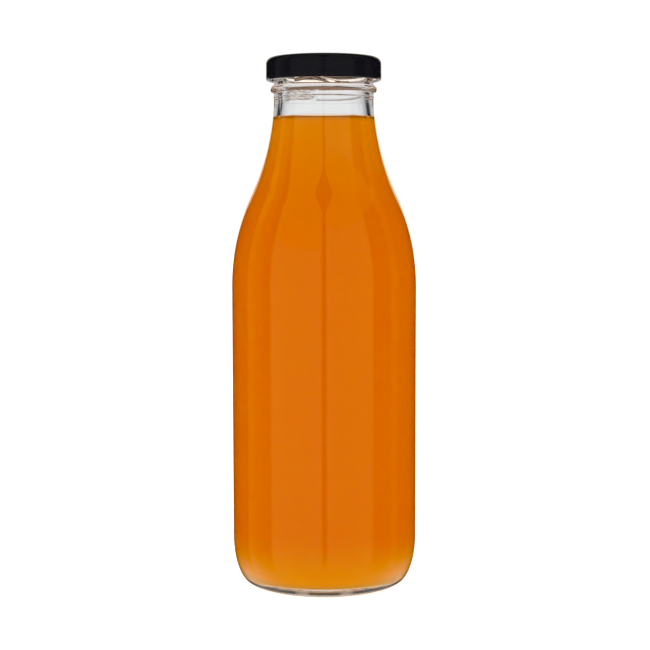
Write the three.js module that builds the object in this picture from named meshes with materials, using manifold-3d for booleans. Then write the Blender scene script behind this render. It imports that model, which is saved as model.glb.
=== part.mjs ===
// A wide-mouth glass milk bottle, filled with orange drink and shut with a twist-off lid.
// Millimetres, +Z up, origin at the centre of the base ring that the bottle stands on.

import * as THREE from "three";
import { mergeVertices } from "three/addons/utils/BufferGeometryUtils.js";
import Module from "manifold-3d";

const wasm = await Module();
wasm.setup();

// Facets round each turned piece. Bottle, drink and lid share them, so their gaps stay even.
const SEGMENTS = 48;
const CLEARANCE = 0.3;
const MERGE_DISTANCE = 1e-4;

// Bottle, outside
const BASE_RING_OUTER = 32.8;
const BASE_RING_INNER = 30.4;
const PUSH_UP_STEP = 0.9;
const PUSH_UP_HEIGHT = 3.4;
const HEEL_HEIGHT = 20.1;
const BODY_RADIUS = 40.3;
const SHOULDER_START = 129.8;
const SHOULDER_ROUND = 96.0;
const SHOULDER_TURN = 170.3;
const NECK_START = 208.4;
const NECK_RADIUS = 21.7;

// Bottle, finish: the carrying bead, the threaded band and the sealing rim
const BEAD_HEIGHT = 215.8;
const BEAD_HALF = 1.7;
const BEAD_RADIUS = 23.1;
const RIM_TOP = 228.0;
const RIM_ROUND = 1.2;
const GLASS_LUGS = 4;
const GLASS_LUG_ROOT = 1.0;
const GLASS_LUG_RADIUS = 22.7;
const GLASS_LUG_ARC = 52.0;
const GLASS_LUG_HEIGHT = 1.5;
const GLASS_LUG_LEVEL = 223.2;
const GLASS_LUG_SLOPE = 4.0;
const GLASS_LUG_TURN = 20.0;

// Bottle, inside
const BORE_RADIUS = 18.2;
const BORE_BOTTOM = 212.5;
const BORE_TAPER_END = 206.0;
const WALL = 2.5;
const INNER_HEEL_TOP = 21.5;
const INNER_BASE_RADIUS = 26.0;
const INNER_BASE_EDGE = 4.2;
const INNER_BASE_CENTRE = 7.4;

// Drink
const FILL_LEVEL = 203.4;
const MENISCUS_RISE = 0.5;
const MENISCUS_WIDTH = 1.6;

// Lid
const LID_RADIUS = 24.9;
const LID_BOTTOM = 219.2;
const LID_TOP = 229.0;
const LID_CORNER = 3.0;
const LID_SHEET = 0.7;
const LID_CURL_HEIGHT = 1.9;
const LID_CURL_WIDTH = 1.7;
const LID_CURL_START = 80.0;
const LID_PANEL_RADIUS = 19.5;
const LID_PANEL_DROP = 0.35;
const LID_LUGS = 4;
const LID_LUG_INNER = 22.05;
const LID_LUG_ARC = 26.0;
const LID_LUG_HEIGHT = 1.2;
const LID_LUG_TURN = 66.0;

const radians = THREE.MathUtils.degToRad;

// Points of a circular or elliptical arc in the profile plane, radius across and height up.
function arc(centreR, centreZ, acrossR, upZ, startDeg, endDeg, steps) {
  const points = [];
  for (let i = 0; i <= steps; i += 1) {
    const a = radians(startDeg + ((endDeg - startDeg) * i) / steps);
    points.push(new THREE.Vector2(centreR + acrossR * Math.cos(a), centreZ + upZ * Math.sin(a)));
  }
  return points;
}

// The shoulder swells out of the neck in a hollow arc, then turns over in a round one.
// Both arcs meet at SHOULDER_TURN with the same slope.
function shoulderRadius(z) {
  const roundCentre = BODY_RADIUS - SHOULDER_ROUND;
  if (z <= SHOULDER_TURN) {
    return roundCentre + Math.sqrt(SHOULDER_ROUND ** 2 - (z - SHOULDER_START) ** 2);
  }
  const turnRise = SHOULDER_TURN - SHOULDER_START;
  const turnAngle = Math.asin(turnRise / SHOULDER_ROUND);
  const turnRadius = roundCentre + SHOULDER_ROUND * Math.cos(turnAngle);
  const drop = turnRadius - NECK_RADIUS;
  const rise = NECK_START - SHOULDER_TURN;
  const chord = Math.hypot(drop, rise);
  const chordAngle = Math.atan2(drop, rise);
  const hollow = chord / 2 / Math.sin(turnAngle - chordAngle);
  const centreZ = SHOULDER_TURN + hollow * Math.sin(turnAngle);
  const centreR = turnRadius + hollow * Math.cos(turnAngle);
  return centreR - Math.sqrt(hollow ** 2 - (z - centreZ) ** 2);
}

// Outer radius of the bottle between the top of its heel and the foot of its neck.
function outerRadius(z) {
  return z > SHOULDER_START ? shoulderRadius(z) : BODY_RADIUS;
}

// Inner radius of the bottle above its inner heel: an even wall, then the taper into the bore.
function innerRadius(z) {
  if (z >= BORE_BOTTOM) {
    return BORE_RADIUS;
  }
  if (z >= BORE_TAPER_END) {
    const along = (z - BORE_TAPER_END) / (BORE_BOTTOM - BORE_TAPER_END);
    return THREE.MathUtils.lerp(outerRadius(BORE_TAPER_END) - WALL, BORE_RADIUS, along);
  }
  return outerRadius(z) - WALL;
}

// Evenly spaced values from low to high, both ends included.
function levels(low, high, steps) {
  return Array.from({ length: steps + 1 }, (_, i) => THREE.MathUtils.lerp(low, high, i / steps));
}

function polar(radius, angle) {
  return new THREE.Vector2(radius * Math.cos(angle), radius * Math.sin(angle));
}

// Rows of points up the shoulder, and the closest that two rows on the inside come together.
const SHOULDER_LEVELS = levels(SHOULDER_START, NECK_START, 14);
const LEVEL_GAP = 1.0;

// The push-up under the base, the standing ring and the heel, from the axis outwards and up.
function basePoints() {
  const dome = arc(0, PUSH_UP_STEP, BASE_RING_INNER, PUSH_UP_HEIGHT - PUSH_UP_STEP, 90, 0, 5);
  const ring = [new THREE.Vector2(BASE_RING_INNER, 0), new THREE.Vector2(BASE_RING_OUTER, 0)];
  const heel = arc(BASE_RING_OUTER, HEEL_HEIGHT, BODY_RADIUS - BASE_RING_OUTER, HEEL_HEIGHT, -90, 0, 8);
  return [...dome, ...ring, ...heel.slice(1)];
}

function shoulderPoints() {
  return SHOULDER_LEVELS.map((z) => new THREE.Vector2(outerRadius(z), z));
}

// The neck above the shoulder, the bead, the threaded band and the rounded rim, going up.
function finishPoints() {
  const bead = arc(NECK_RADIUS, BEAD_HEIGHT, BEAD_RADIUS - NECK_RADIUS, BEAD_HALF, -90, 90, 6);
  const rimOut = arc(NECK_RADIUS - RIM_ROUND, RIM_TOP - RIM_ROUND, RIM_ROUND, RIM_ROUND, 0, 90, 3);
  const rimIn = arc(BORE_RADIUS + RIM_ROUND, RIM_TOP - RIM_ROUND, RIM_ROUND, RIM_ROUND, 90, 180, 3);
  return [...bead, ...rimOut, ...rimIn];
}

// The inside of the bottle, offset inwards by gap, from the level top down to the axis.
function insidePoints(top, gap) {
  const heelDepth = INNER_HEEL_TOP - INNER_BASE_EDGE - gap;
  const heelAcross = innerRadius(INNER_HEEL_TOP) - INNER_BASE_RADIUS;
  const neckStops = [BORE_BOTTOM, BORE_TAPER_END].filter((z) => z < top);
  const highest = Math.min(top, BORE_TAPER_END) - LEVEL_GAP;
  const shoulderStops = SHOULDER_LEVELS.filter((z) => z < highest).reverse();
  const wall = [top, ...neckStops, ...shoulderStops].map((z) => new THREE.Vector2(innerRadius(z) - gap, z));
  const heel = arc(INNER_BASE_RADIUS - gap, INNER_HEEL_TOP, heelAcross, heelDepth, 0, -90, 7);
  return [...wall, ...heel, new THREE.Vector2(0, INNER_BASE_CENTRE + gap)];
}

// Turns a profile round the vertical axis. The profile runs up outside and down inside.
function turned(points) {
  const geometry = new THREE.LatheGeometry(points, SEGMENTS);
  geometry.rotateX(Math.PI / 2);
  return geometry;
}

// A geometry as a solid that can be joined or cut.
function solid(geometry) {
  const bare = geometry.clone();
  bare.deleteAttribute("normal");
  bare.deleteAttribute("uv");
  const merged = mergeVertices(bare, MERGE_DISTANCE);
  const corners = merged.index.array;
  const faces = [];
  for (let i = 0; i < corners.length; i += 3) {
    const [a, b, c] = [corners[i], corners[i + 1], corners[i + 2]];
    if (a !== b && b !== c && c !== a) {
      faces.push(a, b, c);
    }
  }
  const vertProperties = new Float32Array(merged.attributes.position.array);
  return new wasm.Manifold(new wasm.Mesh({ numProp: 3, vertProperties, triVerts: new Uint32Array(faces) }));
}

// Joins solids into one geometry.
function joined(solids) {
  const whole = solids.reduce((sum, next) => sum.add(next));
  const mesh = whole.getMesh();
  const geometry = new THREE.BufferGeometry();
  geometry.setAttribute("position", new THREE.BufferAttribute(new Float32Array(mesh.vertProperties), 3));
  geometry.setIndex(new THREE.BufferAttribute(new Uint32Array(mesh.triVerts), 1));
  geometry.computeVertexNormals();
  return geometry;
}

// A crescent in plan that stands out of a round wall: flush with wallRadius at its two ends,
// reaching reachRadius in its middle, rooted at rootRadius. It faces +X and is centred on z = 0.
function crescent(wallRadius, reachRadius, rootRadius, arcDeg, height) {
  const half = radians(arcDeg / 2);
  const around = levels(-half, half, 8);
  const fullness = (a) => Math.sqrt(Math.max(0, Math.cos((a / half) * (Math.PI / 2))));
  const face = around.map((a) => polar(THREE.MathUtils.lerp(wallRadius, reachRadius, fullness(a)), a));
  const root = around.map((a) => polar(rootRadius, a)).reverse();
  const shape = new THREE.Shape([...face, ...root]);
  const geometry = new THREE.ExtrudeGeometry(shape, { depth: height, bevelEnabled: false });
  geometry.translate(0, 0, -height / 2);
  return geometry;
}

// Copies of one lug at even turns round the neck, each tilted by slope and raised to level.
function lugs(makeOne, count, firstTurn, slope, level) {
  return Array.from({ length: count }, (_, i) => {
    const geometry = makeOne();
    geometry.rotateX(radians(slope));
    geometry.rotateZ(radians(firstTurn + (360 * i) / count));
    geometry.translate(0, 0, level);
    return solid(geometry);
  });
}

function bottleGeometry() {
  const points = [
    ...basePoints(),
    ...shoulderPoints(),
    ...finishPoints(),
    ...insidePoints(RIM_TOP - RIM_ROUND, 0).slice(1),
  ];
  const root = NECK_RADIUS - GLASS_LUG_ROOT;
  const glassLug = () => crescent(NECK_RADIUS, GLASS_LUG_RADIUS, root, GLASS_LUG_ARC, GLASS_LUG_HEIGHT);
  const ring = lugs(glassLug, GLASS_LUGS, GLASS_LUG_TURN, GLASS_LUG_SLOPE, GLASS_LUG_LEVEL);
  return joined([solid(turned(points)), ...ring]);
}

// The drink fills the bottle to its level, with a low rim where it climbs the glass.
function drinkGeometry() {
  const edge = innerRadius(FILL_LEVEL) - CLEARANCE;
  const surface = [new THREE.Vector2(edge - MENISCUS_WIDTH, FILL_LEVEL), new THREE.Vector2(0, FILL_LEVEL)];
  const outline = insidePoints(FILL_LEVEL + MENISCUS_RISE, CLEARANCE);
  return turned([...outline.reverse(), ...surface]);
}

// A pressed sheet lid: sunk top panel, round corner, straight skirt and an inward roll at its foot.
function lidGeometry() {
  const corner = LID_CORNER;
  const skirtInner = LID_RADIUS - LID_SHEET;
  const curlCentre = new THREE.Vector2(LID_RADIUS - LID_CURL_WIDTH / 2, LID_BOTTOM + LID_CURL_HEIGHT / 2);
  const under = LID_TOP - LID_SHEET;
  const innerRound = corner - LID_SHEET;
  const points = [
    new THREE.Vector2(0, under),
    ...arc(skirtInner - innerRound, under - innerRound, innerRound, innerRound, 90, 0, 3),
    ...arc(curlCentre.x, curlCentre.y, LID_CURL_WIDTH / 2, LID_CURL_HEIGHT / 2, LID_CURL_START, 360, 9),
    ...arc(LID_RADIUS - corner, LID_TOP - corner, corner, corner, 0, 90, 5),
    new THREE.Vector2(LID_PANEL_RADIUS + LID_PANEL_DROP, LID_TOP),
    new THREE.Vector2(LID_PANEL_RADIUS, LID_TOP - LID_PANEL_DROP),
    new THREE.Vector2(0, LID_TOP - LID_PANEL_DROP),
  ];
  const rollInner = LID_RADIUS - LID_CURL_WIDTH;
  const lidLug = () => crescent(rollInner, LID_LUG_INNER, curlCentre.x, LID_LUG_ARC, LID_LUG_HEIGHT);
  const ring = lugs(lidLug, LID_LUGS, LID_LUG_TURN, 0, LID_BOTTOM + LID_CURL_HEIGHT / 2);
  return joined([solid(turned(points)), ...ring]);
}

function piece(name, geometry, material) {
  const mesh = new THREE.Mesh(geometry, material);
  mesh.name = name;
  return mesh;
}

const clearGlass = new THREE.MeshStandardMaterial({
  color: 0xe9eeee,
  roughness: 0.04,
  metalness: 0.0,
  transparent: true,
  opacity: 0.3,
});
const orangeDrink = new THREE.MeshStandardMaterial({ color: 0xde7105, roughness: 0.5, metalness: 0.0 });
const blackLacquer = new THREE.MeshStandardMaterial({ color: 0x12131a, roughness: 0.35, metalness: 0.1 });

const milkBottle = new THREE.Group();
milkBottle.add(
  piece("bottle", bottleGeometry(), clearGlass),
  piece("drink", drinkGeometry(), orangeDrink),
  piece("lid", lidGeometry(), blackLacquer),
);

export default milkBottle;
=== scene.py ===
"""A filled milk bottle: clear glass, an orange drink up to the neck and a black twist-off lid.

Everything is in metres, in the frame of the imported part: +Z up, the base on z = 0, the front on -Y.
"""

import functools
import logging
import math
from collections.abc import Callable
from dataclasses import astuple, dataclass
from enum import Enum, IntEnum

import bpy
import numpy as np
from mathutils import Euler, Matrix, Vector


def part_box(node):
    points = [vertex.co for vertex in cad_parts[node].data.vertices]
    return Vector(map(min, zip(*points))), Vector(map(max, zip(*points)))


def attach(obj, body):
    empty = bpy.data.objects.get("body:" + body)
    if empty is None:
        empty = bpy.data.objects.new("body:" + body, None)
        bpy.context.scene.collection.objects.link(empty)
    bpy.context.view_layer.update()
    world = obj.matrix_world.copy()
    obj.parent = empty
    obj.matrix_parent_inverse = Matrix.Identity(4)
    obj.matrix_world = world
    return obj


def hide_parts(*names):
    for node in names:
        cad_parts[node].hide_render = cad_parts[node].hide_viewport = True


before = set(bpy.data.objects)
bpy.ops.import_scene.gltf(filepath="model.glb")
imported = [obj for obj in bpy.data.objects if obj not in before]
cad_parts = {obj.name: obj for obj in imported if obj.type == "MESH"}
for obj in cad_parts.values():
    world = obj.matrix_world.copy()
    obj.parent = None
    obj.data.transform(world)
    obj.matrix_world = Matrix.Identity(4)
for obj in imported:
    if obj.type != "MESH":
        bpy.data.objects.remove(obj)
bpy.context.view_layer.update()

logging.basicConfig(level=logging.INFO, format="%(levelname)s %(message)s")
LOG = logging.getLogger("milk_bottle")

AROUND = 256
FULL_TURN = 2.0 * math.pi
ON_AXIS = 1e-9

Point = tuple[float, float]
Span = tuple[float, float]
Colour = tuple[float, float, float]
Stops = tuple[tuple[float, Colour], ...]
Bands = tuple[tuple[float, float], ...]
Faces = list[tuple[int, ...]]
Socket = bpy.types.NodeSocket
Change = Callable[[np.ndarray, np.ndarray, np.ndarray], np.ndarray]

BLACK: Colour = (0.0, 0.0, 0.0)
WHITE: Colour = (1.0, 1.0, 1.0)


class Slot(Enum):
    """The record's material slots."""

    GLASS = "glass"
    DRINK = "drink"
    LACQUER = "lacquer"


class Coat(IntEnum):
    """The lid's finishes, in the order of its materials."""

    OUTSIDE = 0
    LINING = 1
    # the rolled foot's lacquer, which carries a painted sheen
    FOOT = 2


def mm(value: float) -> float:
    """Millimetres as metres."""
    return value / 1000.0


def mm_span(first: float, last: float) -> Span:
    """Two lengths in millimetres, as metres."""
    return mm(first), mm(last)


def degrees(first: float, last: float) -> Span:
    """Two angles in degrees, as radians."""
    return math.radians(first), math.radians(last)


def rgba(colour: Colour) -> tuple[float, float, float, float]:
    """A colour with full opacity, as a node socket wants it."""
    return (*colour, 1.0)


def grey(light: float) -> tuple[float, float, float, float]:
    """A grey of the given brightness, as a node socket wants it."""
    return (light, light, light, 1.0)


def arc(centre: Point, reach: Point, start: float, end: float, steps: int) -> list[Point]:
    """Points of a circular or elliptical arc in the profile plane.

    Args:
        centre: Radius and height of the arc's centre.
        reach: Half-axes across and up.
        start: First angle in degrees, 0 pointing outwards and 90 up.
        end: Last angle in degrees.
        steps: Number of equal steps between them.

    Returns:
        The points from start to end, both included.
    """
    angles = np.radians(np.linspace(start, end, steps + 1))
    across = centre[0] + reach[0] * np.cos(angles)
    upwards = centre[1] + reach[1] * np.sin(angles)
    return [(max(0.0, float(r)), float(z)) for r, z in zip(across, upwards)]


def smooth_step(value: np.ndarray) -> np.ndarray:
    """Eases 0..1 in and out, and holds the ends outside that range."""
    held = np.clip(value, 0.0, 1.0)
    return held * held * (3.0 - 2.0 * held)


def angle_between(angle: np.ndarray, middle: float) -> np.ndarray:
    """Signed turn from middle to angle, within half a turn either way."""
    return (angle - middle + math.pi) % FULL_TURN - math.pi


def new_object(name: str, points: np.ndarray, faces: Faces, sharp: float | None = None) -> bpy.types.Object:
    """Makes a smooth-shaded mesh object in the scene.

    Args:
        name: The piece's name.
        points: Corner positions, one row each.
        faces: Corner numbers of each face.
        sharp: Angle in degrees above which an edge is sharp, if any is to be.

    Returns:
        The new object.
    """
    mesh = bpy.data.meshes.new(name)
    mesh.from_pydata([tuple(map(float, p)) for p in points], [], faces)
    mesh.validate()
    mesh.shade_smooth()
    if sharp is not None:
        mesh.set_sharp_from_angle(angle=math.radians(sharp))
    piece = bpy.data.objects.new(name, mesh)
    bpy.context.scene.collection.objects.link(piece)
    return piece


def revolved(profile: list[Point], change: Change | None = None) -> tuple[np.ndarray, Faces]:
    """Turns a profile round the vertical axis into a closed skin.

    Args:
        profile: Radius and height pairs, up the outside and down the inside. The first and the
            last point lie on the axis, or the profile is a closed ring that touches it nowhere.
        change: Gives each corner's new radius from its radius, height and angle.

    Returns:
        The corner positions and the faces, which face outwards.
    """
    poles = profile[0][0] < ON_AXIS
    ring_points = np.array(profile[1:-1] if poles else profile)
    angle = (np.arange(AROUND) * FULL_TURN / AROUND)[None, :]
    radius, height, angle = np.broadcast_arrays(ring_points[:, :1], ring_points[:, 1:], angle)
    if change is not None:
        radius = change(radius, height, angle)
    corners = np.stack([radius * np.cos(angle), radius * np.sin(angle), height], axis=-1).reshape(-1, 3)
    rows = len(ring_points)
    sides = [(i, (i + 1) % AROUND) for i in range(AROUND)]
    faces: Faces = []
    for row in range(rows - 1 if poles else rows):
        below, above = row * AROUND, ((row + 1) % rows) * AROUND
        faces += [(below + i, below + j, above + j, above + i) for i, j in sides]
    if poles:
        first, last = rows * AROUND, rows * AROUND + 1
        corners = np.vstack([corners, [(0.0, 0.0, profile[0][1]), (0.0, 0.0, profile[-1][1])]])
        top = (rows - 1) * AROUND
        for i, j in sides:
            faces += [(first, j, i), (last, top + i, top + j)]
    return corners, faces


class Nodes:
    """Places and joins the nodes of one material, node group or world."""

    def __init__(self, tree: bpy.types.NodeTree) -> None:
        """Keeps the tree that the nodes go into."""
        self.tree = tree

    def place(self, kind: str, **settings: object) -> bpy.types.Node:
        """Adds a node and sets its own properties.

        Args:
            kind: The node's type name.
            **settings: Properties of the node.

        Returns:
            The new node.
        """
        node = self.tree.nodes.new(kind)
        for name, value in settings.items():
            setattr(node, name, value)
        return node

    def feed(self, socket: Socket, value: object) -> None:
        """Joins a socket to another one, or sets it to a plain value.

        Args:
            socket: The input that takes the value.
            value: The output to join it to, or a plain value.
        """
        if isinstance(value, Socket):
            self.tree.links.new(value, socket)
        else:
            socket.default_value = value

    def fill(self, node: bpy.types.Node, values: dict[str, object]) -> None:
        """Feeds several inputs of a node, each by its name."""
        for name, value in values.items():
            self.feed(node.inputs[name], value)

    def math(self, operation: str, *values: object) -> Socket:
        """Works sockets or numbers out with a Math node.

        Args:
            operation: The Math node's operation.
            *values: Up to three sockets or numbers.

        Returns:
            The result.
        """
        node = self.place("ShaderNodeMath", operation=operation)
        for socket, value in zip(node.inputs, values):
            self.feed(socket, value)
        return node.outputs[0]

    def product(self, *values: object) -> Socket:
        """The product of sockets or numbers."""
        return functools.reduce(functools.partial(self.math, "MULTIPLY"), values)

    def remap(self, value: object, low: float, high: float, to_low: float = 0.0,
              to_high: float = 1.0, smooth: bool = True) -> Socket:
        """Maps one span to another and holds the ends.

        Args:
            value: The socket or number to map.
            low: The value that becomes to_low.
            high: The value that becomes to_high.
            to_low: Result at low.
            to_high: Result at high.
            smooth: Whether to ease in and out, rather than go straight.

        Returns:
            The mapped value.
        """
        node = self.place("ShaderNodeMapRange", clamp=True)
        node.interpolation_type = "SMOOTHSTEP" if smooth else "LINEAR"
        self.fill(node, {
            "From Min": low, "From Max": high, "To Min": to_low, "To Max": to_high, "Value": value,
        })
        return node.outputs["Result"]

    def mix(self, share: object, first: object, second: object) -> Socket:
        """Mixes two colours.

        Args:
            share: The second colour's share, from 0 to 1.
            first: A colour or a socket.
            second: A colour or a socket.

        Returns:
            The mixed colour.
        """
        node = self.place("ShaderNodeMix", data_type="RGBA")
        colours = [socket for socket in node.inputs if socket.type == "RGBA"]
        for socket, value in zip((node.inputs[0], *colours), (share, first, second)):
            self.feed(socket, value)
        return next(socket for socket in node.outputs if socket.type == "RGBA")

    def layered(self, base: object, layers: tuple[tuple[object, object], ...]) -> Socket:
        """Lays colours over a base one after the other.

        Args:
            base: The lowest colour.
            layers: Share and colour of each layer, from the lowest up.

        Returns:
            The colour on top.
        """
        for share, colour in layers:
            base = self.mix(share, base, colour)
        return base

    def ramp(self, value: object, stops: Stops) -> Socket:
        """Reads a colour off a row of stops.

        Args:
            value: The place on the row, from 0 to 1.
            stops: Place and colour of each stop. The end colours go on beyond the end stops.

        Returns:
            The colour.
        """
        node = self.place("ShaderNodeValToRGB")
        elements = node.color_ramp.elements
        elements.remove(elements[-1])
        elements[0].position, elements[0].color = stops[0][0], rgba(stops[0][1])
        for place, colour in stops[1:]:
            elements.new(place).color = rgba(colour)
        self.feed(node.inputs["Fac"], value)
        return node.outputs["Color"]

    def where(self, output: str = "Object") -> Socket:
        """The place or direction that a Texture Coordinate node gives."""
        return self.place("ShaderNodeTexCoord").outputs[output]

    def split(self, vector: Socket) -> list[Socket]:
        """Takes a place or a direction apart.

        Args:
            vector: The place or direction.

        Returns:
            Its X, Y and Z.
        """
        node = self.place("ShaderNodeSeparateXYZ")
        self.feed(node.inputs[0], vector)
        return list(node.outputs)

    def reach(self, x: Socket, y: Socket) -> Socket:
        """Distance from the upright axis."""
        return self.math("SQRT", self.math("MULTIPLY_ADD", y, y, self.math("MULTIPLY", x, x)))

    def facing(self) -> Socket:
        """How far a surface turns away from the eye, from 0 to 1."""
        return self.place("ShaderNodeLayerWeight").outputs["Facing"]

    def noise(self, where: Socket, scale: object, detail: float = 2.0) -> Socket:
        """Makes a noise over a place.

        Args:
            where: The place.
            scale: Features per metre.
            detail: Number of finer layers in it.

        Returns:
            A value from 0 to 1.
        """
        node = self.place("ShaderNodeTexNoise")
        self.fill(node, {"Scale": scale, "Detail": detail, "Vector": where})
        return node.outputs["Fac"]


@dataclass(frozen=True)
class Relief:
    """Width and depth of a surface's long soft waves and of its fine pits."""

    wave_size: float
    wave_depth: float
    pit_size: float
    pit_depth: float


class RippleGroup:
    """The shader node group of soft waves and fine pits, which every finish shares."""

    NAME = "cast_ripple"
    INPUTS = ("Wave Size", "Wave Depth", "Pit Size", "Pit Depth")
    OUTPUTS = ("Height", "Pits")
    FLAT = Relief(0.02, 0.0, 0.001, 0.0)
    PIT_EDGE = (0.42, 0.68)

    @classmethod
    def build(cls) -> bpy.types.NodeTree:
        """Makes the group.

        Returns:
            The group, with sizes and depths in metres as its inputs, and the height in metres and
            a mask of the pits as its outputs.
        """
        tree = bpy.data.node_groups.new(cls.NAME, "ShaderNodeTree")
        for name, value in zip(cls.INPUTS, astuple(cls.FLAT)):
            socket = tree.interface.new_socket(name=name, in_out="INPUT", socket_type="NodeSocketFloat")
            socket.default_value = value
        for name in cls.OUTPUTS:
            tree.interface.new_socket(name=name, in_out="OUTPUT", socket_type="NodeSocketFloat")
        nodes = Nodes(tree)
        given = nodes.place("NodeGroupInput").outputs
        made = nodes.place("NodeGroupOutput")
        where = nodes.where()
        waves = nodes.noise(where, nodes.math("DIVIDE", 1.0, given["Wave Size"]), 1.0)
        pits = nodes.noise(where, nodes.math("DIVIDE", 1.0, given["Pit Size"]))
        pitting = nodes.remap(pits, *cls.PIT_EDGE)
        height = nodes.math("MULTIPLY", waves, given["Wave Depth"])
        height = nodes.math("MULTIPLY_ADD", pitting, given["Pit Depth"], height)
        nodes.fill(made, {"Height": height, "Pits": pitting})
        return tree

    @classmethod
    def placed(cls, nodes: Nodes, relief: Relief) -> tuple[Socket, Socket]:
        """Puts the group into a material.

        Args:
            nodes: The material's nodes.
            relief: The values that the material gives it.

        Returns:
            The height in metres and the mask of the pits.
        """
        tree = bpy.data.node_groups.get(cls.NAME) or cls.build()
        node = nodes.place("ShaderNodeGroup", node_tree=tree)
        nodes.fill(node, dict(zip(cls.INPUTS, astuple(relief))))
        return node.outputs["Height"], node.outputs["Pits"]


@dataclass(frozen=True)
class Finish:
    """What every finish has: a material of its own, with one Principled shader."""

    name: str

    def material(self) -> tuple[bpy.types.Material, Nodes, bpy.types.Node]:
        """Makes the plain material.

        Returns:
            The material, its nodes and its Principled shader.
        """
        made = bpy.data.materials.new(self.name)
        made.use_nodes = True
        return made, Nodes(made.node_tree), made.node_tree.nodes["Principled BSDF"]

    @staticmethod
    def bump(nodes: Nodes, height: Socket) -> Socket:
        """Turns a height in metres into a normal.

        Args:
            nodes: The material's nodes.
            height: The height.

        Returns:
            The normal for the shader.
        """
        node = nodes.place("ShaderNodeBump")
        nodes.fill(node, {"Distance": 1.0, "Height": height})
        return node.outputs["Normal"]


@dataclass(frozen=True)
class ClearGlass(Finish):
    """Clear moulded bottle glass: faint waves, a stippled standing ring with a painted shade line, and a
    scar on the neck.
    """

    name: str = "clear_glass"
    tint: Colour = (0.985, 0.99, 0.99)
    gloss_tint: Colour = (1.0, 0.98, 0.81)
    roughness: float = 0.0
    bend: float = 1.5
    relief: Relief = Relief(mm(16.0), mm(0.02), mm(3.0), mm(0.0004))
    stipple_count: float = 150.0
    stipple_depth: float = mm(0.12)
    stipple_top: float = mm(2.2)
    # painted shade: a near-black tint draws a dark line round the standing ring; the spans below place it,
    # fade it face-on and thin it in front
    painted_ring_shade: Colour = (0.004, 0.003, 0.002)
    ring_rise: Span = mm_span(1.0, 1.6)
    ring_fall: Span = mm_span(2.6, 3.6)
    ring_reach: Span = mm_span(31.2, 32.2)
    ring_turned: Span = (0.02, 0.38)
    ring_shares: Bands = ((0.0, 0.96), (0.27, 0.96), (0.37, 0.6), (0.48, 0.6), (0.60, 0.98), (0.72, 1.0))
    ring_shares_end: float = 0.6
    scar_size: float = mm(1.1)
    scar_depth: float = mm(0.6)
    scar_stretch: tuple[float, float, float] = (0.25, 0.25, 1.6)
    scar_heights: Span = mm_span(210.4, 213.4)
    scar_from: float = math.radians(-140.0)
    scar_to: float = math.radians(-106.0)
    scar_fade: float = 0.1
    scar_long_fade: float = 0.2

    def _scar(self, nodes: Nodes, where: Socket, height: Socket, turn: Socket) -> Socket:
        """Makes the uneven strokes that the mould leaves on one side of the neck.

        Args:
            nodes: The material's nodes.
            where: The place on the bottle.
            height: Its height.
            turn: Its angle round the axis.

        Returns:
            Their height in metres.
        """
        stretched = nodes.place("ShaderNodeVectorMath", operation="MULTIPLY")
        nodes.feed(stretched.inputs[0], where)
        nodes.feed(stretched.inputs[1], self.scar_stretch)
        strokes = nodes.noise(stretched.outputs[0], 1.0 / self.scar_size)
        low, high = self.scar_heights
        there = nodes.product(
            nodes.remap(height, low - self.scar_size, low),
            nodes.remap(height, high, high + self.scar_size, 1.0, 0.0),
            nodes.remap(turn, self.scar_from - self.scar_fade, self.scar_from + self.scar_fade),
            nodes.remap(turn, self.scar_to + self.scar_long_fade, self.scar_to - self.scar_fade),
        )
        return nodes.product(strokes, there, self.scar_depth)

    def _painted_ring_line(self, nodes: Nodes, reach: Socket, height: Socket, turn: Socket) -> Socket:
        """Finds the painted shade line of the standing ring, which is fainter in two places and face-on.

        Args:
            nodes: The material's nodes.
            reach: Distance from the axis.
            height: Height above the base.
            turn: Angle round the axis.

        Returns:
            The line's share, from 0 to 1.
        """
        off_front = nodes.math("ABSOLUTE", nodes.math("ADD", turn, math.pi / 2))
        shares = tuple((place, (share,) * 3) for place, share in self.ring_shares)
        return nodes.product(
            nodes.remap(height, *self.ring_rise),
            nodes.remap(height, *self.ring_fall, 1.0, 0.0),
            nodes.remap(reach, *self.ring_reach),
            nodes.remap(nodes.facing(), *self.ring_turned),
            nodes.ramp(nodes.math("DIVIDE", off_front, self.ring_shares_end), shares),
        )

    def build(self) -> bpy.types.Material:
        """Makes the material.

        Returns:
            The material, which lets soft light and shadow straight through to what is inside.
        """
        made, nodes, shader = self.material()
        where = nodes.where()
        x, y, height = nodes.split(where)
        turn = nodes.math("ARCTAN2", y, x)
        ripple, _ = RippleGroup.placed(nodes, self.relief)
        beads = nodes.math("SINE", nodes.math("MULTIPLY", turn, self.stipple_count))
        low_down = nodes.remap(height, 0.0, self.stipple_top, 1.0, 0.0)
        relief = nodes.math("ADD", ripple, nodes.product(beads, low_down, self.stipple_depth))
        relief = nodes.math("ADD", relief, self._scar(nodes, where, height, turn))
        ring = self._painted_ring_line(nodes, nodes.reach(x, y), height, turn)
        nodes.fill(shader, {
            # painted shade: the standing ring's dark line is mixed into the glass tint
            "Base Color": nodes.mix(ring, rgba(self.tint), rgba(self.painted_ring_shade)),
            "Roughness": self.roughness,
            "IOR": self.bend,
            "Transmission Weight": 1.0,
            "Specular Tint": rgba(self.gloss_tint),
            "Normal": self.bump(nodes, relief),
        })
        path = nodes.place("ShaderNodeLightPath").outputs
        lit = nodes.math("MAXIMUM", path["Is Shadow Ray"], path["Is Diffuse Ray"])
        clear = nodes.place("ShaderNodeBsdfTransparent")
        blend = nodes.place("ShaderNodeMixShader")
        for socket, value in zip(blend.inputs, (lit, shader.outputs["BSDF"], clear.outputs["BSDF"])):
            nodes.feed(socket, value)
        nodes.feed(made.node_tree.nodes["Material Output"].inputs["Surface"], blend.outputs[0])
        return made


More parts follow.
